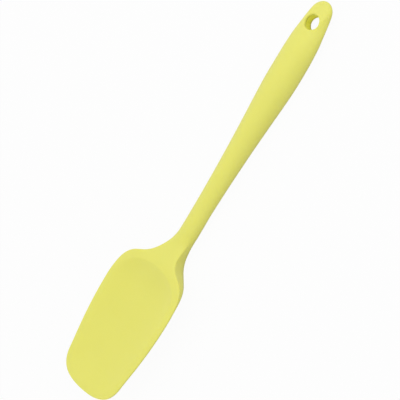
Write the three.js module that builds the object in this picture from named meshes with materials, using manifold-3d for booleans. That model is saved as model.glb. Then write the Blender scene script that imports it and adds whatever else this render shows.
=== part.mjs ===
// A spoon spatula: one soft silicone jacket moulded over a stiff nylon core.
// Millimetres. +X runs from the hang end to the blade's tip, +Z up through the dished front,
// and the origin lies on the rest plane under the middle of the length.
import * as THREE from "three";
import { mergeVertices } from "three/addons/utils/BufferGeometryUtils.js";
import Module from "manifold-3d";

// Handle: places are measured from the hang end, widths and thicknesses are full sizes
const HANG_RADIUS = 7.35;
const HANG_SLOPE_DEG = 13.7;
const HANG_THICK = 7;
const HANG_LIFT = 1.2;
const GRIP_AT = 50;
const GRIP_WIDTH = 20.8;
const GRIP_THICK = 16.5;
const GRIP_FLAT_DEPTH = 2.45;
const NECK_AT = 158;
const NECK_WIDTH = 12.2;
const NECK_THICK = 10;

// Hang hole
const HOLE_AT = 14.5;
const HOLE_RADIUS = 4.7;
const HOLE_LIP = 1.1;

// Blade: runs are measured one after the other from the neck to the tip
const SHOULDER_RUN = 48.7;
const SIDE_RUN = 47.5;
const END_RUN = 15.8;
const BLADE_WIDTH = 56.4;
const BLADE_END_WIDTH = 47.4;
const BLADE_END_SLOPE_DEG = 6.5;
const RIM_RISE = 11.2;
const EDGE_THICK = 1.6;
const EDGE_ROUND = 0.5;
const FLOOR_THICK = 2.6;

// Dish in the blade's front: its upper end lies a little past the neck
const DISH_FROM_NECK = 24.5;
const DISH_DEPTH = 5.2;
const DISH_TIP_DEPTH = 1;
const DISH_ROUND = 21;
const DISH_FULLNESS = 3;
const DISH_CREASE = 1;
const RIM_LAND = 3;

// Heel: the handle's bulk running out as a ridge under the blade
const HEEL_FROM_NECK = 17;
const HEEL_RUN = 57;
const HEEL_WIDTH = 38.5;
const HEEL_FLAT_DEPTH = 0.4;
const HEEL_SWELL_RUN = 20;
const HEEL_FULLNESS = 2.68;
const ELLIPSE_FULLNESS = 2;

// Where the round neck lifts and turns into the thin blade, from the neck
const LIFT_FROM_NECK = -1.4;
const LIFT_RUN = 26.5;
const CROWN_LAG = 8.5;
const PLATE_FROM_NECK = 13.4;
const PLATE_RUN = 30.2;

// Core inside the jacket
const SKIN = 2;
const TONGUE_SKIN = 1.5;
const CORE_GAP = 0.3;
const TONGUE_RUN = 48;
const TONGUE_WIDTH = 8.4;
const TONGUE_ROUND = 6;
const WINDOW_COUNT = 3;
const WINDOW_PITCH = 29;
const WINDOW_LENGTH = 18;
const WINDOW_WIDTH = 4.4;
const KEY_HOLE_RADIUS = 1.6;
const KEY_HOLE_FROM_TIP = 11;

// How far each outline curve keeps its direction, as a share of its run
const HANG_PULL = 0.44;
const GRIP_PULL_BACK = 0.29;
const GRIP_PULL_ON = 0.17;
const NECK_PULL_BACK = 0.66;
const NECK_PULL_ON = 0.736;
const SHOULDER_PULL_BACK = 0.784;
const SHOULDER_PULL_ON = 0.5;
const CORNER_PULL_BACK = 0.16;
const CORNER_PULL_ON = 0.75;
const TIP_PULL = 0.63;
const TONGUE_PULL = 0.5;

// Facets: steps along each stretch of an outline, and places across from middle to edge
const CAP_STEPS = 7;
const HANG_STEPS = 14;
const SHAFT_STEPS = 12;
const SHOULDER_STEPS = 18;
const SIDE_STEPS = 8;
const END_STEPS = 12;
const TONGUE_STEPS = 5;
const JACKET_ACROSS = [0, 0.22, 0.42, 0.59, 0.73, 0.82, 0.886, 0.94, 0.982, 1];
const CORE_ACROSS = [0, 0.35, 0.65, 0.86, 1];
const LIP_STEPS = 2;
const ROUND_STEPS = 16;
const WELD = 1e-4;

// The centre line stops short of both ends, so that the spokes fan round them
const LINE_SOFTNESS = 12;
const HOLE_SPOKE_REACH = 11;
const HOLE_SPREAD = 0.45;

// Finishes
const SILICONE_COLOR = 0xe5e276;
const SILICONE_ROUGHNESS = 0.6;
const NYLON_COLOR = 0xfcfa5c;
const NYLON_ROUGHNESS = 0.5;

// Places and levels that follow from the sizes
const LENGTH = NECK_AT + SHOULDER_RUN + SIDE_RUN + END_RUN;
const AXIS = GRIP_THICK / 2 - GRIP_FLAT_DEPTH;
const DISH_AT = NECK_AT + DISH_FROM_NECK;
const DISH_SLOPE_END = RIM_LAND + DISH_ROUND;
const TONGUE_TIP = NECK_AT + TONGUE_RUN;

const wasm = await Module();
wasm.setup();

const { lerp, degToRad, smoothstep } = THREE.MathUtils;

// A smooth step from 0 to 1 that starts at one place and takes a given run.
const ease = (from, run, x) => smoothstep(x, from, from + run);

// A value that never falls below a floor, and bends into it softly.
const softFloor = (x, floor) => floor + LINE_SOFTNESS * Math.log1p(Math.exp((x - floor) / LINE_SOFTNESS));

// Height of a rounded edge, from 0 on the outline to 1 where the rounding ends.
// More fullness than an ellipse's makes the rounding squarer.
const rounded = (inset, radius, fullness = ELLIPSE_FULLNESS) =>
  (1 - (Math.max(0, radius - inset) / radius) ** fullness) ** (1 / fullness);

// Distance into a corner between two straight sides, with the corner rounded over a radius.
// More fullness than an ellipse's makes the corner squarer.
function intoCorner(a, b, radius, fullness) {
  const left = Math.max(0, 1 - a / radius) ** fullness + Math.max(0, 1 - b / radius) ** fullness;
  return radius * (1 - left ** (1 / fullness));
}

// Depth of a bowl from 0 on its rim to 1 where its floor levels out, with the rim's crease rounded.
const hollow = (inside, run, crease) =>
  1 - (1 - (Math.hypot(Math.max(0, inside), crease) - crease) / run) ** 2;

// A step from a point in the plan, along a direction in degrees.
const step = (point, degrees, distance) =>
  new THREE.Vector2(Math.cos(degToRad(degrees)), Math.sin(degToRad(degrees)))
    .multiplyScalar(distance)
    .add(point);

// Half of the handle's plan outline from hang end to neck, drawn in from the jacket's side by an inset.
function handleOutline(inset) {
  const radius = HANG_RADIUS - inset;
  const capCentre = new THREE.Vector2(HANG_RADIUS, 0);
  const capTurn = 90 + HANG_SLOPE_DEG;
  const capEnd = step(capCentre, capTurn, radius);
  const grip = new THREE.Vector2(GRIP_AT, GRIP_WIDTH / 2 - inset);
  const neck = new THREE.Vector2(NECK_AT, NECK_WIDTH / 2 - inset);
  const hangRun = GRIP_AT - capEnd.x;
  const shaftRun = NECK_AT - GRIP_AT;
  return {
    neck,
    curves: [
      [
        new THREE.EllipseCurve(capCentre.x, 0, radius, radius, Math.PI, degToRad(capTurn), true),
        CAP_STEPS,
      ],
      [
        new THREE.CubicBezierCurve(
          capEnd,
          step(capEnd, HANG_SLOPE_DEG, HANG_PULL * hangRun),
          step(grip, 180, GRIP_PULL_BACK * hangRun),
          grip,
        ),
        HANG_STEPS,
      ],
      [
        new THREE.CubicBezierCurve(
          grip,
          step(grip, 0, GRIP_PULL_ON * shaftRun),
          step(neck, 180, NECK_PULL_BACK * shaftRun),
          neck,
        ),
        SHAFT_STEPS,
      ],
    ],
  };
}

// Points along a row of curves, each point once.
function pointsAlong(curves) {
  return curves.flatMap(([curve, steps], i) => curve.getPoints(steps).slice(i === 0 ? 0 : 1));
}

// Half of the jacket's plan outline, from the hang end round to the blade's tip.
function jacketOutline() {
  const { neck, curves } = handleOutline(0);
  const widest = new THREE.Vector2(NECK_AT + SHOULDER_RUN, BLADE_WIDTH / 2);
  const corner = new THREE.Vector2(widest.x + SIDE_RUN, BLADE_END_WIDTH / 2);
  const tip = new THREE.Vector2(LENGTH, 0);
  curves.push(
    [
      new THREE.CubicBezierCurve(
        neck,
        step(neck, 0, NECK_PULL_ON * SHOULDER_RUN),
        step(widest, 180, SHOULDER_PULL_BACK * SHOULDER_RUN),
        widest,
      ),
      SHOULDER_STEPS,
    ],
    [
      new THREE.CubicBezierCurve(
        widest,
        step(widest, 0, SHOULDER_PULL_ON * SIDE_RUN),
        step(corner, 180 - BLADE_END_SLOPE_DEG, CORNER_PULL_BACK * SIDE_RUN),
        corner,
      ),
      SIDE_STEPS,
    ],
    [
      new THREE.CubicBezierCurve(
        corner,
        step(corner, -BLADE_END_SLOPE_DEG, CORNER_PULL_ON * END_RUN),
        step(tip, 90, TIP_PULL * corner.y),
        tip,
      ),
      END_STEPS,
    ],
  );
  return pointsAlong(curves);
}

// Half of the core's plan outline, drawn in by the skin and grown again by a clearance.
function coreOutline(grow) {
  const { neck, curves } = handleOutline(SKIN - grow);
  const tongue = new THREE.Vector2(TONGUE_TIP - TONGUE_ROUND, TONGUE_WIDTH / 2 + grow);
  const tip = new THREE.Vector2(TONGUE_TIP + grow, 0);
  const run = tongue.x - neck.x;
  curves.push(
    [
      new THREE.CubicBezierCurve(
        neck,
        step(neck, 0, TONGUE_PULL * run),
        step(tongue, 180, TONGUE_PULL * run),
        tongue,
      ),
      TONGUE_STEPS,
    ],
    [
      new THREE.CubicBezierCurve(
        tongue,
        step(tongue, 0, TONGUE_PULL * TONGUE_ROUND),
        step(tip, 90, TONGUE_PULL * tongue.y),
        tip,
      ),
      TONGUE_STEPS,
    ],
  );
  return pointsAlong(curves);
}

// Half the handle's thickness along its length.
function halfThickness(x) {
  const toGrip = lerp(HANG_THICK / 2, GRIP_THICK / 2, ease(0, GRIP_AT, x));
  return lerp(toGrip, NECK_THICK / 2, ease(GRIP_AT, NECK_AT - GRIP_AT, x));
}

// How far the front has lifted from the neck to the blade's rim, from 0 to 1.
// The middle starts to lift later than the sides by a lag, and both end together.
const liftAt = (x, lag = 0) => ease(NECK_AT + LIFT_FROM_NECK + lag, LIFT_RUN - lag, x);

// Top and bottom of the jacket at a place in the plan. inset is the distance in from the outline,
// full the half width there, and edgeX where along the length the nearest edge lies.
function jacketHeights(x, y, inset, full, edgeX) {
  const axis = AXIS + HANG_LIFT * (1 - ease(0, GRIP_AT, x));
  const half = halfThickness(x);
  const plate = ease(NECK_AT + PLATE_FROM_NECK, PLATE_RUN, x);
  const edge = axis + (RIM_RISE - EDGE_THICK / 2) * liftAt(edgeX);
  const wall = (EDGE_THICK / 2 - EDGE_ROUND) * plate;
  const radius = lerp(full, EDGE_ROUND, plate);
  const swell = rounded(inset, radius);

  const inside = intoCorner(x - DISH_AT, inset - RIM_LAND, DISH_ROUND, DISH_FULLNESS);
  const floorShare = hollow(inside, DISH_ROUND, DISH_CREASE);
  const towardsTip = THREE.MathUtils.clamp((x - DISH_AT) / (LENGTH - DISH_AT), 0, 1);
  const dish = lerp(DISH_DEPTH, DISH_TIP_DEPTH, towardsTip ** 2) * floorShare;
  const crown = axis + lerp(half, RIM_RISE, liftAt(x, CROWN_LAG));
  const top = lerp(edge + wall, crown, swell) - dish;

  const heelSwell = ease(NECK_AT - HEEL_SWELL_RUN, HEEL_SWELL_RUN, x);
  const heelHalf = lerp(half, AXIS + HEEL_FLAT_DEPTH, heelSwell);
  const fullness = lerp(ELLIPSE_FULLNESS, HEEL_FULLNESS, ease(NECK_AT, HEEL_FROM_NECK, x));
  const rodBottom = lerp(edge - wall, axis - heelHalf, rounded(inset, radius, fullness));
  const heelFade = ease(NECK_AT + HEEL_FROM_NECK, HEEL_RUN, x);
  const ridgeFull = (RIM_RISE - EDGE_THICK + heelHalf) * (1 - heelFade);
  const ridge = Math.max(0, ridgeFull - dish) * Math.max(0, 1 - (y / (HEEL_WIDTH / 2)) ** 2) ** 2;
  const backing = (FLOOR_THICK - EDGE_THICK) * floorShare;
  const plateBottom = edge - wall - EDGE_ROUND * swell - dish - backing - ridge;
  return { top, bottom: Math.max(0, lerp(rodBottom, plateBottom, plate)) };
}

// Top and bottom of the core, which keeps a skin of silicone over it on the jacket's centre line.
function coreHeights(grow) {
  return (x, y, inset, full) => {
    const jacket = jacketHeights(x, 0, Infinity, full, x);
    const skin = lerp(SKIN, TONGUE_SKIN, ease(NECK_AT, TONGUE_RUN, x)) - grow;
    const edge = (jacket.top + jacket.bottom) / 2;
    const swell = rounded(inset, full);
    return {
      top: lerp(edge, jacket.top - skin, swell),
      bottom: lerp(edge, jacket.bottom + skin, swell),
    };
  };
}

// A closed body round the hang hole. Spokes run from the hole's rim, and past it from the centre line,
// out to the outline. Each spoke carries the body's top and bottom, and the left half mirrors the right.
function spokedBody(outline, heights, across, holeRadius, lip) {
  const rim = holeRadius + lip;
  const tipX = outline.at(-1).x;
  const widest = Math.max(...outline.map((p) => p.y));
  const lineEnd = tipX - Math.min(widest, DISH_SLOPE_END);
  const capLine = (x) => softFloor(x, HANG_RADIUS);
  const last = outline.findLastIndex((p) => p.x <= HOLE_AT + HOLE_SPOKE_REACH);
  const holeAngle = (p) => Math.atan2(p.y, p.x - HOLE_AT);
  const lastAngle = holeAngle(outline[last]);
  const lag = outline[last].x - HOLE_AT - rim;

  const spokes = outline.map((outer, i) => {
    const middle = -softFloor(-capLine(outer.x), -lineEnd);
    const full = outer.distanceTo(new THREE.Vector2(middle, 0));
    const facing = (holeAngle(outer) - lastAngle) / (Math.PI - lastAngle);
    const angle = i <= last ? Math.PI * lerp(facing, 1 - i / last, HOLE_SPREAD) : 0;
    const onRim = new THREE.Vector2(HOLE_AT + rim * Math.cos(angle), rim * Math.sin(angle));
    const behind = lag * Math.exp((outline[last].x - outer.x) / LINE_SOFTNESS);
    const onLine = new THREE.Vector2(-softFloor(behind - outer.x, -lineEnd), 0);
    const inner = i <= last ? onRim : onLine;
    const reach = inner.distanceTo(outer);
    const top = [];
    const bottom = [];
    for (const share of across) {
      const at = inner.clone().lerp(outer, share);
      const y = i === 0 || i === outline.length - 1 || (share === 0 && i >= last) ? 0 : at.y;
      const h = heights(at.x, y, reach * (1 - share), full, outer.x);
      top.push(new THREE.Vector3(at.x, y, h.top));
      bottom.push(new THREE.Vector3(at.x, y, h.bottom));
    }
    const ring = [...top, ...bottom.reverse()];
    if (i <= last) ring.push(...boreWall(ring.at(-1), ring[0], angle, holeRadius, lip), ring[0]);
    return ring;
  });

  const corners = [];
  const addTriangle = (a, b, c) => {
    corners.push(a, b, c);
    const [ma, mb, mc] = [a, b, c].map((p) => new THREE.Vector3(p.x, -p.y, p.z));
    corners.push(ma, mc, mb);
  };
  for (let i = 1; i < spokes.length; i++) {
    const [before, after] = [spokes[i - 1], spokes[i]];
    const steps = Math.min(before.length, after.length);
    for (let k = 1; k < steps; k++) {
      addTriangle(before[k - 1], after[k], before[k]);
      addTriangle(before[k - 1], after[k - 1], after[k]);
    }
  }
  const place = new THREE.Matrix4().makeTranslation(-LENGTH / 2, 0, 0);
  return new THREE.BufferGeometry().setFromPoints(corners).applyMatrix4(place);
}

// The hole's wall on one spoke between its two rims, with a rounded lip at each end.
// Without a lip the wall is straight and needs no points of its own.
function boreWall(low, high, angle, holeRadius, lip) {
  if (lip === 0) return [];
  const wall = [];
  const out = new THREE.Vector3(Math.cos(angle), Math.sin(angle), 0);
  const centre = new THREE.Vector3(HOLE_AT, 0, 0);
  const at = (radius, z) => {
    const p = centre.clone().addScaledVector(out, radius);
    return new THREE.Vector3(p.x, angle === 0 || low.y === 0 ? 0 : p.y, z);
  };
  for (let k = 1; k <= LIP_STEPS; k++) {
    const turn = (k / LIP_STEPS) * (Math.PI / 2);
    wall.push(at(holeRadius + lip * (1 - Math.sin(turn)), low.z + lip * (1 - Math.cos(turn))));
  }
  for (let k = LIP_STEPS; k >= 1; k--) {
    const turn = (k / LIP_STEPS) * (Math.PI / 2);
    wall.push(at(holeRadius + lip * (1 - Math.sin(turn)), high.z - lip * (1 - Math.cos(turn))));
  }
  return wall;
}

// A geometry as a solid that can be joined and cut.
function solidOf(geometry) {
  const bare = geometry.index ? geometry.toNonIndexed() : geometry.clone();
  for (const name of Object.keys(bare.attributes)) if (name !== "position") bare.deleteAttribute(name);
  const welded = mergeVertices(bare, WELD);
  const index = welded.index.array;
  const triVerts = [];
  for (let i = 0; i < index.length; i += 3) {
    const [a, b, c] = index.slice(i, i + 3);
    if (a !== b && b !== c && c !== a) triVerts.push(a, b, c);
  }
  return new wasm.Manifold(
    new wasm.Mesh({
      numProp: 3,
      vertProperties: welded.attributes.position.array,
      triVerts: new Uint32Array(triVerts),
    }),
  );
}

// A solid as a mesh with a name and a finish.
function meshOf(name, solid, color, roughness) {
  const { vertProperties, triVerts } = solid.getMesh();
  const geometry = new THREE.BufferGeometry();
  geometry.setAttribute("position", new THREE.BufferAttribute(vertProperties, 3));
  geometry.setIndex(new THREE.BufferAttribute(triVerts, 1));
  geometry.computeVertexNormals();
  const mesh = new THREE.Mesh(geometry, new THREE.MeshStandardMaterial({ color, roughness, metalness: 0 }));
  mesh.name = name;
  return mesh;
}

// An upright cutter with a flat outline, taller than the part.
function cutterOf(shape, x) {
  const tall = GRIP_THICK + RIM_RISE;
  const options = { depth: 2 * tall, bevelEnabled: false, curveSegments: ROUND_STEPS };
  const geometry = new THREE.ExtrudeGeometry(shape, options);
  return solidOf(geometry.translate(x - LENGTH / 2, 0, -tall));
}

// A slot with round ends, lying along X about its own middle.
function slotShape(length, width) {
  const shape = new THREE.Shape();
  const reach = (length - width) / 2;
  shape.absarc(reach, 0, width / 2, -Math.PI / 2, Math.PI / 2, false);
  shape.absarc(-reach, 0, width / 2, Math.PI / 2, (3 * Math.PI) / 2, false);
  return shape;
}

// The core, or with a clearance the space that it takes up in the jacket.
function coreSolid(grow) {
  const body = spokedBody(coreOutline(grow), coreHeights(grow), CORE_ACROSS, HOLE_RADIUS - grow, 0);
  let core = solidOf(body);
  for (let i = 0; i < WINDOW_COUNT; i++) {
    const slot = slotShape(WINDOW_LENGTH - 2 * grow, WINDOW_WIDTH - 2 * grow);
    core = core.subtract(cutterOf(slot, GRIP_AT + i * WINDOW_PITCH));
  }
  const keyHole = new THREE.Shape().absarc(0, 0, KEY_HOLE_RADIUS - grow, 0, 2 * Math.PI, false);
  return core.subtract(cutterOf(keyHole, TONGUE_TIP - KEY_HOLE_FROM_TIP));
}

const jacketBody = spokedBody(jacketOutline(), jacketHeights, JACKET_ACROSS, HOLE_RADIUS, HOLE_LIP);
const jacket = solidOf(jacketBody).subtract(coreSolid(CORE_GAP));

const spatula = new THREE.Group();
spatula.add(meshOf("silicone_jacket", jacket, SILICONE_COLOR, SILICONE_ROUGHNESS));
spatula.add(meshOf("nylon_core", coreSolid(0), NYLON_COLOR, NYLON_ROUGHNESS));

export default spatula;
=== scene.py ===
"""A spoon spatula: a soft silicone jacket moulded over a stiff nylon core.

It lies dish up on a pale studio floor. Sizes are in millimetres and become metres in the meshes.
"""

import logging
import math
from dataclasses import dataclass, field
from enum import Enum
from typing import Protocol

import bpy
import numpy as np
from mathutils import Color, Matrix, Vector


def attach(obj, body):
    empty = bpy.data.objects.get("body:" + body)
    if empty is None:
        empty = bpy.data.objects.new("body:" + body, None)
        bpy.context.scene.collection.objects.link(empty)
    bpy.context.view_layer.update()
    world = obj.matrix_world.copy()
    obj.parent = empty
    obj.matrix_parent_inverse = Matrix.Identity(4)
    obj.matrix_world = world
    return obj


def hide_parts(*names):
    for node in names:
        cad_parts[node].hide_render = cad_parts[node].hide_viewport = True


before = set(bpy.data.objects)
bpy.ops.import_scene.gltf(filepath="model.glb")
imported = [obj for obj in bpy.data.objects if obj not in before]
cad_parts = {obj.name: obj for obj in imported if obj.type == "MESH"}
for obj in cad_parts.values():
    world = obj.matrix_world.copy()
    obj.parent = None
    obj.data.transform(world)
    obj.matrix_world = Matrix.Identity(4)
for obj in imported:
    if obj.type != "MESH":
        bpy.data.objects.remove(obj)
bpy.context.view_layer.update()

MM = 0.001
BODY = "root"
WELD = 2e-6
GRID_SIZE = 2.0
ELLIPSE_FULLNESS = 2.0
SMOOTH_BELOW_DEG = 40.0
SCREEN_FULL = 255
WHITE = (1.0, 1.0, 1.0, 1.0)

log = logging.getLogger("spatula")


class Slot(Enum):
    """The record's material slots."""

    SILICONE = "silicone"
    NYLON = "nylon"


class Node(Enum):
    """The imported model's nodes."""

    JACKET = "silicone_jacket"
    CORE = "nylon_core"


def smooth(start: float, run: float, at: np.ndarray) -> np.ndarray:
    """A smooth step from 0 to 1.

    Args:
        start: Where the step begins.
        run: How far it takes.
        at: The places to read it at.

    Returns:
        The step's value at each place.
    """
    share = np.clip((at - start) / run, 0.0, 1.0)
    return share * share * (3.0 - 2.0 * share)


def mix(low: np.ndarray, high: np.ndarray, share: np.ndarray) -> np.ndarray:
    """A value part of the way from low to high."""
    return low + (high - low) * share


def soft_above(value: np.ndarray, floor: float, softness: float) -> np.ndarray:
    """A value that bends softly into a floor and never falls below it."""
    return floor + softness * np.logaddexp(0.0, (value - floor) / softness)


def rounded_above(value: np.ndarray, radius: float) -> np.ndarray:
    """A height cut off at zero, with the corner rounded over a radius either side."""
    bend = np.clip(value + radius, 0.0, 2.0 * radius)
    return bend**2 / (4.0 * radius) + np.maximum(value - radius, 0.0)


def swelling(
    inset: np.ndarray, radius: np.ndarray, fullness: np.ndarray | float = ELLIPSE_FULLNESS
) -> np.ndarray:
    """The height of a rounded edge.

    Args:
        inset: Distance in from the outline.
        radius: Where the rounding ends.
        fullness: More than an ellipse's makes the rounding squarer.

    Returns:
        A share from 0 on the outline to 1 where the rounding ends.
    """
    return (1.0 - (np.maximum(0.0, radius - inset) / radius) ** fullness) ** (1.0 / fullness)


def into_corner(first: np.ndarray, second: np.ndarray, radius: float, fullness: float) -> np.ndarray:
    """Distance into a rounded corner between two straight sides.

    Args:
        first: Distance from the one side.
        second: Distance from the other side.
        radius: Size of the rounding, and the most that the distance comes to.
        fullness: More than an ellipse's makes the rounding squarer.

    Returns:
        The distance in from the rounded corner.
    """
    first_left, second_left = (np.maximum(0.0, 1.0 - side / radius) ** fullness for side in (first, second))
    return radius * (1.0 - (first_left + second_left) ** (1.0 / fullness))


def hollow(inside: np.ndarray, run: float, crease: float) -> np.ndarray:
    """Depth of a bowl.

    Args:
        inside: Distance in from the bowl's rim.
        run: Where its floor levels out.
        crease: How far the rim's crease is rounded.

    Returns:
        A share from 0 on the rim to 1 on the level floor.
    """
    return 1.0 - (1.0 - (np.hypot(np.maximum(0.0, inside), crease) - crease) / run) ** 2


def step_from(point: np.ndarray, degrees: float, distance: float) -> np.ndarray:
    """A step from a point of the plan, along a direction in degrees."""
    turn = math.radians(degrees)
    return point + distance * np.array((math.cos(turn), math.sin(turn)))


def bezier(
    start: np.ndarray, leave: np.ndarray, arrive: np.ndarray, end: np.ndarray, steps: int
) -> np.ndarray:
    """Points along one Bezier curve of the plan.

    Args:
        start: First point.
        leave: Handle of the first point.
        arrive: Handle of the last point.
        end: Last point.
        steps: Number of steps.

    Returns:
        The points after the first one, so that stretches join without doubles.
    """
    t = np.linspace(0.0, 1.0, steps + 1)[1:, None]
    s = 1.0 - t
    return s**3 * start + 3.0 * s**2 * t * leave + 3.0 * s * t**2 * arrive + t**3 * end


@dataclass(frozen=True)
class HandleSizes:
    """The handle in millimetres: places are measured from the hang end."""

    hang_radius: float = 7.35
    hang_slope_deg: float = 13.7
    hang_thick: float = 7.0
    hang_lift: float = 1.2
    hang_pull: float = 0.44
    grip_at: float = 50.0
    grip_width: float = 20.8
    grip_thick: float = 16.5
    grip_flat_depth: float = 2.45
    grip_pull_back: float = 0.29
    grip_pull_on: float = 0.17
    neck_at: float = 158.0
    neck_width: float = 12.2
    neck_thick: float = 10.0
    neck_pull_back: float = 0.66
    hole_at: float = 14.5
    hole_radius: float = 4.7
    hole_lip: float = 1.1
    cap_steps: int = 14
    hang_steps: int = 36
    shaft_steps: int = 64

    @property
    def axis(self) -> float:
        """Height of the handle's middle line over the surface that it lies on."""
        return self.grip_thick / 2 - self.grip_flat_depth

    def axis_at(self, x: np.ndarray) -> np.ndarray:
        """Height of the middle line along the handle, which lifts a little to the hang end."""
        return self.axis + self.hang_lift * (1.0 - smooth(0.0, self.grip_at, x))

    def half_thickness(self, x: np.ndarray) -> np.ndarray:
        """Half the handle's thickness along its length."""
        to_grip = mix(self.hang_thick / 2, self.grip_thick / 2, smooth(0.0, self.grip_at, x))
        return mix(to_grip, self.neck_thick / 2, smooth(self.grip_at, self.neck_at - self.grip_at, x))

    def outline(self, inset: float) -> np.ndarray:
        """Half of the handle's plan outline, from the hang end to the neck.

        Args:
            inset: How far it is drawn in from the jacket's side.

        Returns:
            The points as rows of x and y.
        """
        radius = self.hang_radius - inset
        turns = np.radians(np.linspace(180.0, 90.0 + self.hang_slope_deg, self.cap_steps + 1))
        cap = np.stack((self.hang_radius + radius * np.cos(turns), radius * np.sin(turns)), 1)
        grip = np.array((self.grip_at, self.grip_width / 2 - inset))
        neck = np.array((self.neck_at, self.neck_width / 2 - inset))
        hang_run = self.grip_at - cap[-1, 0]
        shaft_run = self.neck_at - self.grip_at
        to_grip = bezier(
            cap[-1],
            step_from(cap[-1], self.hang_slope_deg, self.hang_pull * hang_run),
            step_from(grip, 180.0, self.grip_pull_back * hang_run),
            grip,
            self.hang_steps,
        )
        to_neck = bezier(
            grip,
            step_from(grip, 0.0, self.grip_pull_on * shaft_run),
            step_from(neck, 180.0, self.neck_pull_back * shaft_run),
            neck,
            self.shaft_steps,
        )
        return np.concatenate((cap, to_grip, to_neck))


@dataclass(frozen=True)
class BladeSizes:
    """The blade in millimetres: runs follow one another from the neck to the tip."""

    shoulder_run: float = 48.7
    side_run: float = 47.5
    end_run: float = 15.8
    width: float = 56.4
    end_width: float = 47.4
    end_slope_deg: float = 6.5
    rim_rise: float = 11.2
    edge_thick: float = 1.6
    edge_round: float = 0.5
    floor_thick: float = 2.6
    neck_pull: float = 0.736
    shoulder_pull_back: float = 0.784
    shoulder_pull_on: float = 0.5
    corner_pull_back: float = 0.16
    corner_pull_on: float = 0.75
    tip_pull: float = 0.63
    dish_from_neck: float = 24.5
    dish_depth: float = 5.2
    dish_tip_depth: float = 1.0
    dish_round: float = 21.0
    dish_fullness: float = 3.0
    dish_crease: float = 1.0
    rim_land: float = 3.0
    heel_from_neck: float = 17.0
    heel_run: float = 57.0
    heel_width: float = 38.5
    heel_flat_depth: float = 0.4
    heel_swell_run: float = 20.0
    heel_fullness: float = 2.68
    lift_from_neck: float = -1.4
    lift_run: float = 26.5
    crown_lag: float = 8.5
    plate_from_neck: float = 13.4
    plate_run: float = 30.2
    shoulder_steps: int = 72
    side_steps: int = 36
    end_steps: int = 44

    @property
    def run(self) -> float:
        """Length of the blade from the neck to the tip."""
        return self.shoulder_run + self.side_run + self.end_run

    @property
    def dish_slope_end(self) -> float:
        """How far in from the edge the dish's floor levels out."""
        return self.rim_land + self.dish_round

    def outline(self, neck: np.ndarray) -> np.ndarray:
        """Half of the blade's plan outline.

        Args:
            neck: The point of the handle's outline that it goes on from.

        Returns:
            The points after the neck, round to the tip.
        """
        widest = np.array((neck[0] + self.shoulder_run, self.width / 2))
        corner = np.array((widest[0] + self.side_run, self.end_width / 2))
        tip = np.array((neck[0] + self.run, 0.0))
        shoulder = bezier(
            neck,
            step_from(neck, 0.0, self.neck_pull * self.shoulder_run),
            step_from(widest, 180.0, self.shoulder_pull_back * self.shoulder_run),
            widest,
            self.shoulder_steps,
        )
        side = bezier(
            widest,
            step_from(widest, 0.0, self.shoulder_pull_on * self.side_run),
            step_from(corner, 180.0 - self.end_slope_deg, self.corner_pull_back * self.side_run),
            corner,
            self.side_steps,
        )
        end = bezier(
            corner,
            step_from(corner, -self.end_slope_deg, self.corner_pull_on * self.end_run),
            step_from(tip, 90.0, self.tip_pull * corner[1]),
            tip,
            self.end_steps,
        )
        return np.concatenate((shoulder, side, end))


@dataclass(frozen=True)
class CoreSizes:
    """The core in millimetres, and the clearance that the jacket leaves round it."""

    skin: float = 2.0
    tongue_skin: float = 1.5
    gap: float = 0.3
    tongue_run: float = 48.0
    tongue_width: float = 8.4
    tongue_round: float = 6.0
    tongue_pull: float = 0.5
    window_count: int = 3
    window_pitch: float = 29.0
    window_length: float = 18.0
    window_width: float = 4.4
    key_hole_radius: float = 1.6
    key_hole_from_tip: float = 11.0
    tongue_steps: int = 18
    across_steps: int = 16
    cutter_sides: int = 48

    def outline(self, neck: np.ndarray, grow: float) -> np.ndarray:
        """Half of the tongue's plan outline, from the neck to the tongue's tip.

        Args:
            neck: The point of the core's outline that it goes on from.
            grow: Clearance that the outline is grown by.

        Returns:
            The points after the neck.
        """
        tip_x = neck[0] + self.tongue_run
        tongue = np.array((tip_x - self.tongue_round, self.tongue_width / 2 + grow))
        tip = np.array((tip_x + grow, 0.0))
        run = tongue[0] - neck[0]
        side = bezier(
            neck,
            step_from(neck, 0.0, self.tongue_pull * run),
            step_from(tongue, 180.0, self.tongue_pull * run),
            tongue,
            self.tongue_steps,
        )
        end = bezier(
            tongue,
            step_from(tongue, 0.0, self.tongue_pull * self.tongue_round),
            step_from(tip, 90.0, self.tongue_pull * tongue[1]),
            tip,
            self.tongue_steps,
        )
        return np.concatenate((side, end))


class Form(Protocol):
    """A body that has a plan outline, and a top and a bottom over each place of the plan."""

    def outline(self) -> np.ndarray:
        """Half of the plan outline, from the hang end to the tip."""

    def heights(
        self, x: np.ndarray, y: np.ndarray, inset: np.ndarray, full: np.ndarray, edge_x: np.ndarray
    ) -> tuple[np.ndarray, np.ndarray]:
        """Top and bottom over places of the plan."""

    def plate(self, x: np.ndarray) -> np.ndarray:
        """How far the round section has turned into a thin plate."""


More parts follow.
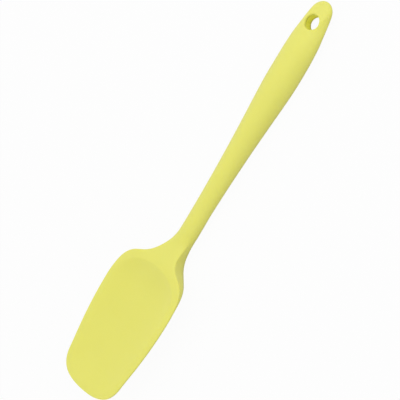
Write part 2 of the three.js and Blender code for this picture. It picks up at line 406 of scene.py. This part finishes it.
@dataclass(frozen=True)
class JacketForm:
    """The jacket's outside: a round handle that turns into a dished blade with a heel under it."""

    handle: HandleSizes
    blade: BladeSizes
    back_round: float = 0.45

    @property
    def length(self) -> float:
        """Whole length of the spatula."""
        return self.handle.neck_at + self.blade.run

    def outline(self) -> np.ndarray:
        """Half of the plan outline, from the hang end to the blade's tip."""
        handle = self.handle.outline(0.0)
        return np.concatenate((handle, self.blade.outline(handle[-1])))

    def plate(self, x: np.ndarray) -> np.ndarray:
        """How far the round neck has turned into the thin blade."""
        return smooth(self.handle.neck_at + self.blade.plate_from_neck, self.blade.plate_run, x)

    def lift(self, x: np.ndarray, lag: float = 0.0) -> np.ndarray:
        """How far the front has lifted from the neck to the blade's rim.

        Args:
            x: Places along the length.
            lag: How much later than the sides the lift starts. Both end together.

        Returns:
            A share from 0 to 1.
        """
        start = self.handle.neck_at + self.blade.lift_from_neck
        return smooth(start + lag, self.blade.lift_run - lag, x)

    def heights(
        self, x: np.ndarray, y: np.ndarray, inset: np.ndarray, full: np.ndarray, edge_x: np.ndarray
    ) -> tuple[np.ndarray, np.ndarray]:
        """Top and bottom of the jacket.

        Args:
            x: Places along the length.
            y: Places across it.
            inset: Distance in from the outline.
            full: Half width there.
            edge_x: Where along the length the nearest edge lies.

        Returns:
            The heights of the top and the bottom.
        """
        handle, blade = self.handle, self.blade
        neck = handle.neck_at
        axis = handle.axis_at(x)
        half = handle.half_thickness(x)
        plate = self.plate(x)
        edge = axis + (blade.rim_rise - blade.edge_thick / 2) * self.lift(edge_x)
        wall = (blade.edge_thick / 2 - blade.edge_round) * plate
        radius = mix(full, blade.edge_round, plate)
        swell = swelling(inset, radius)

        dish_at = neck + blade.dish_from_neck
        inside = into_corner(x - dish_at, inset - blade.rim_land, blade.dish_round, blade.dish_fullness)
        floor_share = hollow(inside, blade.dish_round, blade.dish_crease)
        to_tip = np.clip((x - dish_at) / (self.length - dish_at), 0.0, 1.0)
        dish = mix(blade.dish_depth, blade.dish_tip_depth, to_tip**2) * floor_share
        crown = axis + mix(half, blade.rim_rise, self.lift(x, blade.crown_lag))
        top = mix(edge + wall, crown, swell) - dish

        heel_swell = smooth(neck - blade.heel_swell_run, blade.heel_swell_run, x)
        heel_half = mix(half, handle.axis + blade.heel_flat_depth, heel_swell)
        fullness = mix(ELLIPSE_FULLNESS, blade.heel_fullness, smooth(neck, blade.heel_from_neck, x))
        rod_bottom = mix(edge - wall, axis - heel_half, swelling(inset, radius, fullness))
        heel_fade = smooth(neck + blade.heel_from_neck, blade.heel_run, x)
        ridge_full = (blade.rim_rise - blade.edge_thick + heel_half) * (1.0 - heel_fade)
        across = np.maximum(0.0, 1.0 - (y / (blade.heel_width / 2)) ** 2) ** 2
        ridge = np.maximum(0.0, ridge_full - dish) * across
        backing = (blade.floor_thick - blade.edge_thick) * floor_share
        plate_bottom = edge - wall - blade.edge_round * swell - dish - backing - ridge
        return top, rounded_above(mix(rod_bottom, plate_bottom, plate), self.back_round)


@dataclass(frozen=True)
class CoreForm:
    """The core's outside, or with a clearance the space that it takes up in the jacket."""

    jacket: JacketForm
    sizes: CoreSizes
    grow: float = 0.0

    def outline(self) -> np.ndarray:
        """Half of the plan outline, from the eyelet to the tongue's tip."""
        handle = self.jacket.handle.outline(self.sizes.skin - self.grow)
        return np.concatenate((handle, self.sizes.outline(handle[-1], self.grow)))

    def plate(self, x: np.ndarray) -> np.ndarray:
        """The core stays round to its tip."""
        return np.zeros_like(x)

    def heights(
        self, x: np.ndarray, y: np.ndarray, inset: np.ndarray, full: np.ndarray, edge_x: np.ndarray
    ) -> tuple[np.ndarray, np.ndarray]:
        """Top and bottom of the core, which keeps a skin of silicone over it on the middle line.

        Args:
            x: Places along the length.
            y: Places across it. Not used.
            inset: Distance in from the outline.
            full: Half width there.
            edge_x: Where along the length the nearest edge lies. Not used.

        Returns:
            The heights of the top and the bottom.
        """
        deep = np.full_like(x, self.jacket.blade.width)
        roof, base = self.jacket.heights(x, np.zeros_like(x), deep, full, x)
        tongue = smooth(self.jacket.handle.neck_at, self.sizes.tongue_run, x)
        skin = mix(self.sizes.skin, self.sizes.tongue_skin, tongue) - self.grow
        edge = (roof + base) / 2
        swell = swelling(inset, full)
        return mix(edge, roof - skin, swell), mix(edge, base + skin, swell)


def only_active(piece: bpy.types.Object) -> None:
    """Makes one object the only selected one, and the active one.

    Args:
        piece: The object.
    """
    if bpy.context.object and bpy.context.object.mode != "OBJECT":
        bpy.ops.object.mode_set(mode="OBJECT")
    bpy.ops.object.select_all(action="DESELECT")
    piece.select_set(True)
    bpy.context.view_layer.objects.active = piece


def cut(piece: bpy.types.Object, tool: bpy.types.Object) -> None:
    """Cuts one closed mesh out of another and removes the cutter.

    Args:
        piece: What is cut.
        tool: The cutter.
    """
    only_active(piece)
    bpy.ops.object.modifier_add(type="BOOLEAN")
    boolean = piece.modifiers[-1]
    boolean.operation = "DIFFERENCE"
    boolean.solver = "EXACT"
    boolean.object = tool
    bpy.ops.object.modifier_apply(modifier=boolean.name)
    bpy.data.objects.remove(tool, do_unlink=True)


@dataclass(frozen=True)
class SpokedSkin:
    """A closed skin round the hang hole.

    Spokes run from the hole's rim, and past it from the middle line, out to the outline. Each spoke is one
    row of a grid, with the top going out, the bottom coming back and, next to the hole, its wall.
    """

    form: Form
    handle: HandleSizes
    blade: BladeSizes
    hole_radius: float
    lip: float
    across: int = 34
    edge_share: float = 0.24
    slope_share: float = 0.47
    slope_most: float = 0.6
    lip_steps: int = 7
    wall_steps: int = 12
    line_softness: float = 12.0
    spoke_reach: float = 11.0
    spread: float = 0.45

    def spokes(self) -> tuple[np.ndarray, np.ndarray, np.ndarray, np.ndarray, int]:
        """Where each spoke starts and ends.

        Returns:
            Inner ends, outer ends, half widths, angles round the hole, and the last spoke that meets it.
        """
        outer = self.form.outline()
        rim = self.hole_radius + self.lip
        hole_at = self.handle.hole_at
        line_end = outer[-1, 0] - min(outer[:, 1].max(), self.blade.dish_slope_end)
        last = int(np.flatnonzero(outer[:, 0] <= hole_at + self.spoke_reach).max())
        bearing = np.arctan2(outer[:, 1], outer[:, 0] - hole_at)
        facing = (bearing - bearing[last]) / (math.pi - bearing[last])
        even = 1.0 - np.arange(len(outer)) / last
        meets = np.arange(len(outer)) <= last
        angle = np.where(meets, math.pi * mix(facing, even, self.spread), 0.0)
        cap_line = soft_above(outer[:, 0], self.handle.hang_radius, self.line_softness)
        centre = -soft_above(-cap_line, -line_end, self.line_softness)
        full = np.hypot(outer[:, 0] - centre, outer[:, 1])
        lag = outer[last, 0] - hole_at - rim
        behind = lag * np.exp(np.minimum(0.0, outer[last, 0] - outer[:, 0]) / self.line_softness)
        line_x = -soft_above(behind - outer[:, 0], -line_end, self.line_softness)
        on_rim = np.stack((hole_at + rim * np.cos(angle), rim * np.sin(angle)), 1)
        on_line = np.stack((line_x, np.zeros_like(line_x)), 1)
        return np.where(meets[:, None], on_rim, on_line), outer, full, angle, last

    def insets(self, reach: np.ndarray, full: np.ndarray, plate: np.ndarray) -> np.ndarray:
        """Distances in from the outline for each place of each spoke, closest where the edge is round.

        Args:
            reach: Length of each spoke.
            full: Half width at each spoke.
            plate: How thin the body is there, from 0 to 1.

        Returns:
            One row for each spoke, from its inner end out to the outline.
        """
        share = np.linspace(1.0, 0.0, self.across + 1)[None, :]
        far = np.arccos(np.clip(1.0 - reach / full, 0.0, 1.0))[:, None]
        round_rows = (1.0 - np.cos(share * far)) / (1.0 - np.cos(far))
        edge_round = self.blade.edge_round
        slope_end = np.minimum(self.blade.dish_slope_end, self.slope_most * reach)[:, None]
        floor_share = 1.0 - self.edge_share - self.slope_share
        on_edge = 1.0 - np.cos(np.minimum(share / self.edge_share, 1.0) * math.pi / 2)
        on_slope = np.clip((share - self.edge_share) / self.slope_share, 0.0, 1.0)
        on_floor = np.clip((share - self.edge_share - self.slope_share) / floor_share, 0.0, 1.0)
        floor_rows = (reach[:, None] - slope_end) * on_floor
        flat_rows = edge_round * on_edge + (slope_end - edge_round) * on_slope + floor_rows
        return mix(round_rows * reach[:, None], flat_rows, plate[:, None])

    def bore(self, low: np.ndarray, high: np.ndarray, angle: np.ndarray) -> np.ndarray:
        """The hole's wall between its two rims, with a rounded lip at each end.

        Args:
            low: Heights of the lower rim.
            high: Heights of the upper rim.
            angle: Angles round the hole.

        Returns:
            Rows of points from just past the lower rim to the upper rim.
        """
        turn = np.linspace(0.0, math.pi / 2, self.lip_steps + 1)[None, 1:]
        drawn = self.lip * (1.0 - np.sin(turn))
        raised = self.lip * (1.0 - np.cos(turn))
        share = np.linspace(0.0, 1.0, self.wall_steps + 1)[None, 1:-1]
        low, high = low[:, None], high[:, None]
        straight = mix(low + self.lip, high - self.lip, share)
        out = np.concatenate((drawn, np.zeros_like(share), drawn[:, ::-1], [[self.lip]]), 1)
        radius = out + self.hole_radius
        z = np.concatenate((low + raised, straight, high - raised[:, ::-1], high), 1)
        x = self.handle.hole_at + radius * np.cos(angle)[:, None]
        y = radius * np.sin(angle)[:, None]
        return np.stack((x, y, z), 2)

    def rows(self) -> tuple[np.ndarray, int, int]:
        """All points of one half.

        Returns:
            The grid of points in metres, the last row that meets the hole, and the outside's last column.
        """
        inner, outer, full, angle, last = self.spokes()
        reach = np.hypot(*(outer - inner).T)
        inset = self.insets(reach, full, self.form.plate(outer[:, 0]))
        along = 1.0 - inset / reach[:, None]
        places = inner[:, None, :] + (outer - inner)[:, None, :] * along[:, :, None]
        x, y = places[..., 0], places[..., 1]
        y[0], y[-1], y[last:, 0] = 0.0, 0.0, 0.0
        top, bottom = self.form.heights(x, y, inset, full[:, None], outer[:, :1])
        upper = np.stack((x, y, top), 2)
        lower = np.stack((x, y, bottom), 2)[:, ::-1]
        outside = np.concatenate((upper, lower), 1)
        wall = self.bore(lower[:, -1, 2], upper[:, 0, 2], angle)
        wall[0, :, 1], wall[last, :, 1] = 0.0, 0.0
        grid = np.concatenate((outside, wall), 1)
        grid[..., 0] -= (self.handle.neck_at + self.blade.run) / 2
        return grid * MM, last, outside.shape[1] - 1

    def build(self, name: str) -> bpy.types.Object:
        """Shapes a grid into one half, mirrors it and closes it.

        Args:
            name: The new object's name.

        Returns:
            The closed mesh object, at the origin.
        """
        points, last, outside = self.rows()
        bpy.ops.object.select_all(action="DESELECT")
        rows, columns = points.shape[:2]
        bpy.ops.mesh.primitive_grid_add(x_subdivisions=rows - 1, y_subdivisions=columns - 1, size=GRID_SIZE)
        piece = bpy.context.active_object
        piece.name = name
        mesh = piece.data
        mesh.name = name
        flat = np.empty(len(mesh.vertices) * 3, np.float32)
        mesh.vertices.foreach_get("co", flat)
        row = np.rint((flat[0::3] / GRID_SIZE + 0.5) * (rows - 1)).astype(int)
        column = np.rint((flat[1::3] / GRID_SIZE + 0.5) * (columns - 1)).astype(int)
        mesh.vertices.foreach_set("co", points[row, column].astype(np.float32).ravel())

        bpy.ops.object.mode_set(mode="EDIT")
        bpy.ops.mesh.select_mode(type="VERT")
        bpy.ops.mesh.select_all(action="DESELECT")
        bpy.ops.object.mode_set(mode="OBJECT")
        mesh.vertices.foreach_set("select", (row > last) & (column > outside))
        bpy.ops.object.mode_set(mode="EDIT")
        bpy.ops.mesh.delete(type="VERT")
        bpy.ops.mesh.select_all(action="SELECT")
        bpy.ops.mesh.remove_doubles(threshold=WELD)
        bpy.ops.object.mode_set(mode="OBJECT")

        bpy.ops.object.modifier_add(type="MIRROR")
        mirror = piece.modifiers[-1]
        mirror.use_axis = (False, True, False)
        mirror.merge_threshold = WELD
        bpy.ops.object.modifier_apply(modifier=mirror.name)
        bpy.ops.object.mode_set(mode="EDIT")
        bpy.ops.mesh.select_all(action="SELECT")
        bpy.ops.mesh.remove_doubles(threshold=WELD)
        bpy.ops.mesh.normals_make_consistent(inside=False)
        bpy.ops.object.mode_set(mode="OBJECT")
        return piece


@dataclass(frozen=True)
class ToneDrift:
    """A slow change between two tones of one colour, as pigment settles in a moulding."""

    name: str = "tone_drift"
    detail: float = 3.0

    def group(self) -> bpy.types.NodeTree:
        """The node group, made once.

        Returns:
            The group: two tones and a scale in, one colour out.
        """
        made = bpy.data.node_groups.get(self.name)
        if made:
            return made
        tree = bpy.data.node_groups.new(self.name, "ShaderNodeTree")
        for label in ("Light tone", "Deep tone"):
            tree.interface.new_socket(label, in_out="INPUT", socket_type="NodeSocketColor")
        tree.interface.new_socket("Scale", in_out="INPUT", socket_type="NodeSocketFloat")
        tree.interface.new_socket("Color", in_out="OUTPUT", socket_type="NodeSocketColor")
        nodes, links = tree.nodes, tree.links
        inputs, outputs = nodes.new("NodeGroupInput"), nodes.new("NodeGroupOutput")
        place = nodes.new("ShaderNodeTexCoord")
        noise = nodes.new("ShaderNodeTexNoise")
        noise.inputs["Detail"].default_value = self.detail
        blend = nodes.new("ShaderNodeMix")
        blend.data_type = "RGBA"
        links.new(place.outputs["Object"], noise.inputs["Vector"])
        links.new(inputs.outputs["Scale"], noise.inputs["Scale"])
        links.new(noise.outputs["Fac"], blend.inputs["Factor"])
        links.new(inputs.outputs["Light tone"], blend.inputs["A"])
        links.new(inputs.outputs["Deep tone"], blend.inputs["B"])
        links.new(blend.outputs["Result"], outputs.inputs["Color"])
        return tree


@dataclass(frozen=True)
class MouldGrain:
    """The fine grain that a blasted mould leaves, with a slower unevenness under it."""

    name: str = "mould_grain"
    slow_ratio: float = 0.12
    slow_weight: float = 2.2
    fine_detail: float = 2.0
    slow_detail: float = 1.0

    def group(self) -> bpy.types.NodeTree:
        """The node group, made once.

        Returns:
            The group: a scale in, a height and a mask out.
        """
        made = bpy.data.node_groups.get(self.name)
        if made:
            return made
        tree = bpy.data.node_groups.new(self.name, "ShaderNodeTree")
        tree.interface.new_socket("Scale", in_out="INPUT", socket_type="NodeSocketFloat")
        for label in ("Height", "Mask"):
            tree.interface.new_socket(label, in_out="OUTPUT", socket_type="NodeSocketFloat")
        nodes, links = tree.nodes, tree.links
        inputs, outputs = nodes.new("NodeGroupInput"), nodes.new("NodeGroupOutput")
        place = nodes.new("ShaderNodeTexCoord")
        fine = nodes.new("ShaderNodeTexNoise")
        fine.inputs["Detail"].default_value = self.fine_detail
        slower = nodes.new("ShaderNodeMath")
        slower.operation = "MULTIPLY"
        slower.inputs[1].default_value = self.slow_ratio
        slow = nodes.new("ShaderNodeTexNoise")
        slow.inputs["Detail"].default_value = self.slow_detail
        total = nodes.new("ShaderNodeMath")
        total.operation = "MULTIPLY_ADD"
        total.inputs[1].default_value = self.slow_weight
        for noise in (fine, slow):
            links.new(place.outputs["Object"], noise.inputs["Vector"])
        links.new(inputs.outputs["Scale"], fine.inputs["Scale"])
        links.new(inputs.outputs["Scale"], slower.inputs[0])
        links.new(slower.outputs[0], slow.inputs["Scale"])
        links.new(slow.outputs["Fac"], total.inputs[0])
        links.new(fine.outputs["Fac"], total.inputs[2])
        links.new(total.outputs[0], outputs.inputs["Height"])
        links.new(slow.outputs["Fac"], outputs.inputs["Mask"])
        return tree


def linear(red: int, green: int, blue: int) -> tuple[float, float, float, float]:
    """A screen colour of 0 to 255 as the linear colour that a shader socket takes."""
    shares = [level / SCREEN_FULL for level in (red, green, blue)]
    return (*Color(shares).from_srgb_to_scene_linear(), 1.0)


@dataclass(frozen=True)
class MouldedFinish:
    """A coloured moulding with a fine grain: soft silicone or stiff nylon."""

    name: str
    light_tone: tuple[int, int, int]
    deep_tone: tuple[int, int, int]
    drift_scale: float
    grain_scale: float
    grain_height: float
    rough_low: float
    rough_high: float
    specular: float
    sheen: float = 0.0
    sheen_rough: float = 0.5
    glow: float = 0.0
    glow_depth: float = 0.0
    glow_tint: tuple[float, float, float] = (1.0, 0.9, 0.35)

    def material(self) -> bpy.types.Material:
        """Builds the finish as a node material.

        Returns:
            The material.
        """
        material = bpy.data.materials.new(self.name)
        material.use_nodes = True
        nodes, links = material.node_tree.nodes, material.node_tree.links
        shader = nodes["Principled BSDF"]
        shader.inputs["Specular IOR Level"].default_value = self.specular
        shader.inputs["Sheen Weight"].default_value = self.sheen
        shader.inputs["Sheen Roughness"].default_value = self.sheen_rough
        shader.inputs["Subsurface Weight"].default_value = self.glow
        shader.inputs["Subsurface Scale"].default_value = self.glow_depth
        shader.inputs["Subsurface Radius"].default_value = self.glow_tint

        tone = nodes.new("ShaderNodeGroup")
        tone.node_tree = ToneDrift().group()
        tone.inputs["Light tone"].default_value = linear(*self.light_tone)
        tone.inputs["Deep tone"].default_value = linear(*self.deep_tone)
        tone.inputs["Scale"].default_value = self.drift_scale
        links.new(tone.outputs["Color"], shader.inputs["Base Color"])

        grain = nodes.new("ShaderNodeGroup")
        grain.node_tree = MouldGrain().group()
        grain.inputs["Scale"].default_value = self.grain_scale
        rough = nodes.new("ShaderNodeMapRange")
        rough.inputs["To Min"].default_value = self.rough_low
        rough.inputs["To Max"].default_value = self.rough_high
        links.new(grain.outputs["Mask"], rough.inputs["Value"])
        links.new(rough.outputs["Result"], shader.inputs["Roughness"])
        bump = nodes.new("ShaderNodeBump")
        bump.inputs["Distance"].default_value = self.grain_height * MM
        links.new(grain.outputs["Height"], bump.inputs["Height"])
        links.new(bump.outputs["Normal"], shader.inputs["Normal"])
        return material


SILICONE = MouldedFinish(
    name="lemon_lime_silicone",
    light_tone=(229, 226, 99),
    deep_tone=(226, 223, 95),
    drift_scale=38.0,
    grain_scale=3200.0,
    grain_height=0.01,
    rough_low=0.5,
    rough_high=0.62,
    specular=0.8,
    sheen=0.2,
    glow=0.3,
    glow_depth=0.003,
)
NYLON = MouldedFinish(
    name="dyed_nylon",
    light_tone=(254, 252, 94),
    deep_tone=(250, 248, 90),
    drift_scale=60.0,
    grain_scale=2400.0,
    grain_height=0.02,
    rough_low=0.42,
    rough_high=0.55,
    specular=0.5,
)


def dress(piece: bpy.types.Object, finish: MouldedFinish, node: Node) -> None:
    """Gives a piece its finish and its place in the frame.

    Args:
        piece: The finished mesh.
        finish: What it is made of.
        node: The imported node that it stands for.
    """
    only_active(piece)
    bpy.ops.object.shade_smooth_by_angle(angle=math.radians(SMOOTH_BELOW_DEG))
    piece.data.materials.clear()
    piece.data.materials.append(finish.material())
    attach(piece, BODY)
    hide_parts(node.value)
    log.info("%s: %d faces", piece.name, len(piece.data.polygons))


@dataclass(frozen=True)
class NylonCore:
    """The stiff core: an eyelet, a shaft with windows, a neck rod and a tongue with a key hole."""

    jacket: JacketForm
    sizes: CoreSizes = field(default_factory=CoreSizes)

    def slot_cutter(self, at: float, length: float, width: float) -> bpy.types.Object:
        """An upright cutter with round ends, taller than the part.

        Args:
            at: Its middle, from the hang end.
            length: Its whole length along the handle.
            width: Its width, and the size of its round ends.

        Returns:
            The cutter.
        """
        handle = self.jacket.handle
        bpy.ops.object.select_all(action="DESELECT")
        bpy.ops.mesh.primitive_cylinder_add(
            vertices=self.sizes.cutter_sides,
            radius=width / 2 * MM,
            depth=2 * handle.grip_thick * MM,
            location=(0.0, 0.0, handle.axis * MM),
            rotation=(0.0, 0.0, math.pi / self.sizes.cutter_sides),
        )
        tool = bpy.context.active_object
        bpy.ops.object.transform_apply(location=True, rotation=True, scale=True)
        bpy.ops.object.mode_set(mode="EDIT")
        for side in (-1.0, 1.0):
            bpy.ops.mesh.select_all(action="DESELECT")
            bpy.ops.object.mode_set(mode="OBJECT")
            for vertex in tool.data.vertices:
                vertex.select = vertex.co.x * side > 0.0
            bpy.ops.object.mode_set(mode="EDIT")
            bpy.ops.transform.translate(value=(side * (length - width) / 2 * MM, 0.0, 0.0))
        bpy.ops.object.mode_set(mode="OBJECT")
        only_active(tool)
        bpy.ops.transform.translate(value=((at - self.jacket.length / 2) * MM, 0.0, 0.0))
        bpy.ops.object.transform_apply(location=True, rotation=True, scale=True)
        return tool

    def solid(self, name: str, grow: float) -> bpy.types.Object:
        """The core as a closed mesh, or with a clearance the space that it takes up.

        Args:
            name: The new object's name.
            grow: The clearance on every side.

        Returns:
            The closed mesh object.
        """
        handle, sizes = self.jacket.handle, self.sizes
        skin = SpokedSkin(
            form=CoreForm(self.jacket, sizes, grow),
            handle=handle,
            blade=self.jacket.blade,
            hole_radius=handle.hole_radius - grow,
            lip=0.0,
            across=sizes.across_steps,
        )
        piece = skin.build(name)
        for i in range(sizes.window_count):
            at = handle.grip_at + i * sizes.window_pitch
            cut(piece, self.slot_cutter(at, sizes.window_length - 2 * grow, sizes.window_width - 2 * grow))
        key = 2 * (sizes.key_hole_radius - grow)
        tip = handle.neck_at + sizes.tongue_run
        cut(piece, self.slot_cutter(tip - sizes.key_hole_from_tip, key, key))
        return piece

    def build(self) -> bpy.types.Object:
        """Models the core and dresses it.

        Returns:
            The dressed core.
        """
        piece = self.solid("core", 0.0)
        dress(piece, NYLON, Node.CORE)
        return piece


@dataclass(frozen=True)
class SiliconeJacket:
    """The soft outside in one moulding, with the core's space left in it."""

    form: JacketForm
    core: NylonCore

    def build(self) -> bpy.types.Object:
        """Models the jacket, cuts the core's space out of it and dresses it.

        Returns:
            The dressed jacket.
        """
        handle = self.form.handle
        skin = SpokedSkin(
            form=self.form,
            handle=handle,
            blade=self.form.blade,
            hole_radius=handle.hole_radius,
            lip=handle.hole_lip,
        )
        piece = skin.build("jacket")
        cut(piece, self.core.solid("core_space", self.core.sizes.gap))
        dress(piece, SILICONE, Node.JACKET)
        return piece


class LampPlace(Enum):
    """Where the studio's soft lamps hang, as a direction from the middle of the spatula."""

    HEAD = (-0.6, -0.1, 0.8)


@dataclass(frozen=True)
class SoftLamp:
    """A large square lamp aimed at the middle of the spatula, with its size and distance in metres."""

    place: LampPlace
    watts: float
    size: float = 0.5
    distance: float = 0.7

    def build(self) -> bpy.types.Object:
        """Adds the lamp.

        Returns:
            The lamp object.
        """
        direction = Vector(self.place.value).normalized()
        bpy.ops.object.light_add(type="AREA", location=direction * self.distance)
        lamp = bpy.context.active_object
        lamp.name = f"lamp_{self.place.name.lower()}"
        lamp.rotation_euler = (-direction).to_track_quat("-Z", "Y").to_euler()
        lamp.data.energy = self.watts
        lamp.data.size = self.size
        log.info("%s: %.1f W", lamp.name, self.watts)
        return lamp


@dataclass(frozen=True)
class PhotoCamera:
    """The camera at the photograph's viewing angle, aimed without shift.

    The tilt turns it to the right of the dish's own normal, the incline leans it to the hang end, and the
    turn is the spatula's slant in the picture. Lengths are in millimetres.
    """

    tilt_deg: float = 36.0
    incline_deg: float = -7.67
    turn_deg: float = 31.31
    distance: float = 1000.0
    mm_per_pixel: float = 0.5892
    pixels: int = 400
    aim_along: float = 2.41
    aim_across: float = -4.43
    aim_height: float = 5.8
    sensor_width: float = 36.0
    clip_start: float = 50.0

    def build(self) -> bpy.types.Object:
        """Adds the camera and makes it the scene's own.

        Returns:
            The camera object.
        """
        tilt, incline, turn = (math.radians(a) for a in (self.tilt_deg, self.incline_deg, self.turn_deg))
        across = Vector((0.0, math.cos(tilt), -math.sin(tilt)))
        normal = Vector((0.0, math.sin(tilt), math.cos(tilt)))
        length = Vector((1.0, 0.0, 0.0))
        along = math.cos(incline) * length - math.sin(incline) * normal
        towards = math.sin(incline) * length + math.cos(incline) * normal
        right = -math.sin(turn) * along + math.cos(turn) * across
        up = -math.cos(turn) * along - math.sin(turn) * across
        aim = Vector((0.0, 0.0, self.aim_height)) + self.aim_along * along + self.aim_across * across
        bpy.ops.object.camera_add()
        camera = bpy.context.active_object
        camera.name = "photo_camera"
        place = Matrix.Translation((aim + self.distance * towards) * MM)
        camera.matrix_world = place @ Matrix((right, up, towards)).transposed().to_4x4()
        camera.data.sensor_width = self.sensor_width
        camera.data.lens = self.sensor_width * self.distance / (self.mm_per_pixel * self.pixels)
        camera.data.clip_start = self.clip_start * MM
        bpy.context.scene.camera = camera
        log.info("camera: lens %.1f mm", camera.data.lens)
        return camera


@dataclass(frozen=True)
class Studio:
    """A plain pale floor under soft light, white to the camera but for the spatula's shadow.

    The floor's size is in metres, and its drop in millimetres keeps it just clear of the spatula.
    """

    floor_size: float = 6.0
    floor_tone: tuple[float, float, float, float] = (0.64, 0.64, 0.64, 1.0)
    floor_drop: float = 0.05
    shadow_share: float = 0.045
    sky: float = 0.9
    lamps: tuple[SoftLamp, ...] = (SoftLamp(LampPlace.HEAD, 0.85),)

    def floor_material(self) -> bpy.types.Material:
        """A matt floor that the camera sees as nearly white, and that keeps the shadow.

        Returns:
            The material.
        """
        material = bpy.data.materials.new("studio_floor")
        material.use_nodes = True
        nodes, links = material.node_tree.nodes, material.node_tree.links
        nodes.clear()
        out = nodes.new("ShaderNodeOutputMaterial")
        matt = nodes.new("ShaderNodeBsdfDiffuse")
        matt.inputs["Color"].default_value = self.floor_tone
        white = nodes.new("ShaderNodeEmission")
        path = nodes.new("ShaderNodeLightPath")
        share = nodes.new("ShaderNodeMath")
        share.operation = "MULTIPLY"
        share.inputs[1].default_value = 1.0 - self.shadow_share
        blend = nodes.new("ShaderNodeMixShader")
        links.new(path.outputs["Is Camera Ray"], share.inputs[0])
        links.new(share.outputs[0], blend.inputs["Fac"])
        links.new(matt.outputs[0], blend.inputs[1])
        links.new(white.outputs[0], blend.inputs[2])
        links.new(blend.outputs[0], out.inputs["Surface"])
        return material

    def build_floor(self) -> bpy.types.Object:
        """Adds the floor just under the spatula.

        Returns:
            The floor object.
        """
        bpy.ops.object.select_all(action="DESELECT")
        bpy.ops.mesh.primitive_plane_add(size=self.floor_size, location=(0.0, 0.0, -self.floor_drop * MM))
        floor = bpy.context.active_object
        floor.name = "studio_floor"
        floor.data.materials.append(self.floor_material())
        return floor

    def build_sky(self) -> None:
        """Lights the scene evenly from all round, and shows white to the camera."""
        world = bpy.data.worlds.new("studio_sky")
        bpy.context.scene.world = world
        world.use_nodes = True
        nodes, links = world.node_tree.nodes, world.node_tree.links
        nodes.clear()
        out = nodes.new("ShaderNodeOutputWorld")
        even = nodes.new("ShaderNodeBackground")
        even.inputs["Strength"].default_value = self.sky
        white = nodes.new("ShaderNodeBackground")
        path = nodes.new("ShaderNodeLightPath")
        blend = nodes.new("ShaderNodeMixShader")
        for shade in (even, white):
            shade.inputs["Color"].default_value = WHITE
        links.new(path.outputs["Is Camera Ray"], blend.inputs["Fac"])
        links.new(even.outputs[0], blend.inputs[1])
        links.new(white.outputs[0], blend.inputs[2])
        links.new(blend.outputs[0], out.inputs["Surface"])

    def build(self) -> None:
        """Sets up the floor, the light and the camera."""
        bpy.context.scene.view_settings.view_transform = "Standard"
        self.build_floor()
        self.build_sky()
        for lamp in self.lamps:
            lamp.build()
        PhotoCamera().build()


def main() -> None:
    """Builds the spatula and its studio."""
    logging.basicConfig(level=logging.INFO, format="%(name)s: %(message)s")
    form = JacketForm(HandleSizes(), BladeSizes())
    core = NylonCore(form)
    core.build()
    SiliconeJacket(form, core).build()
    Studio().build()


if __name__ == "__main__":
    main()
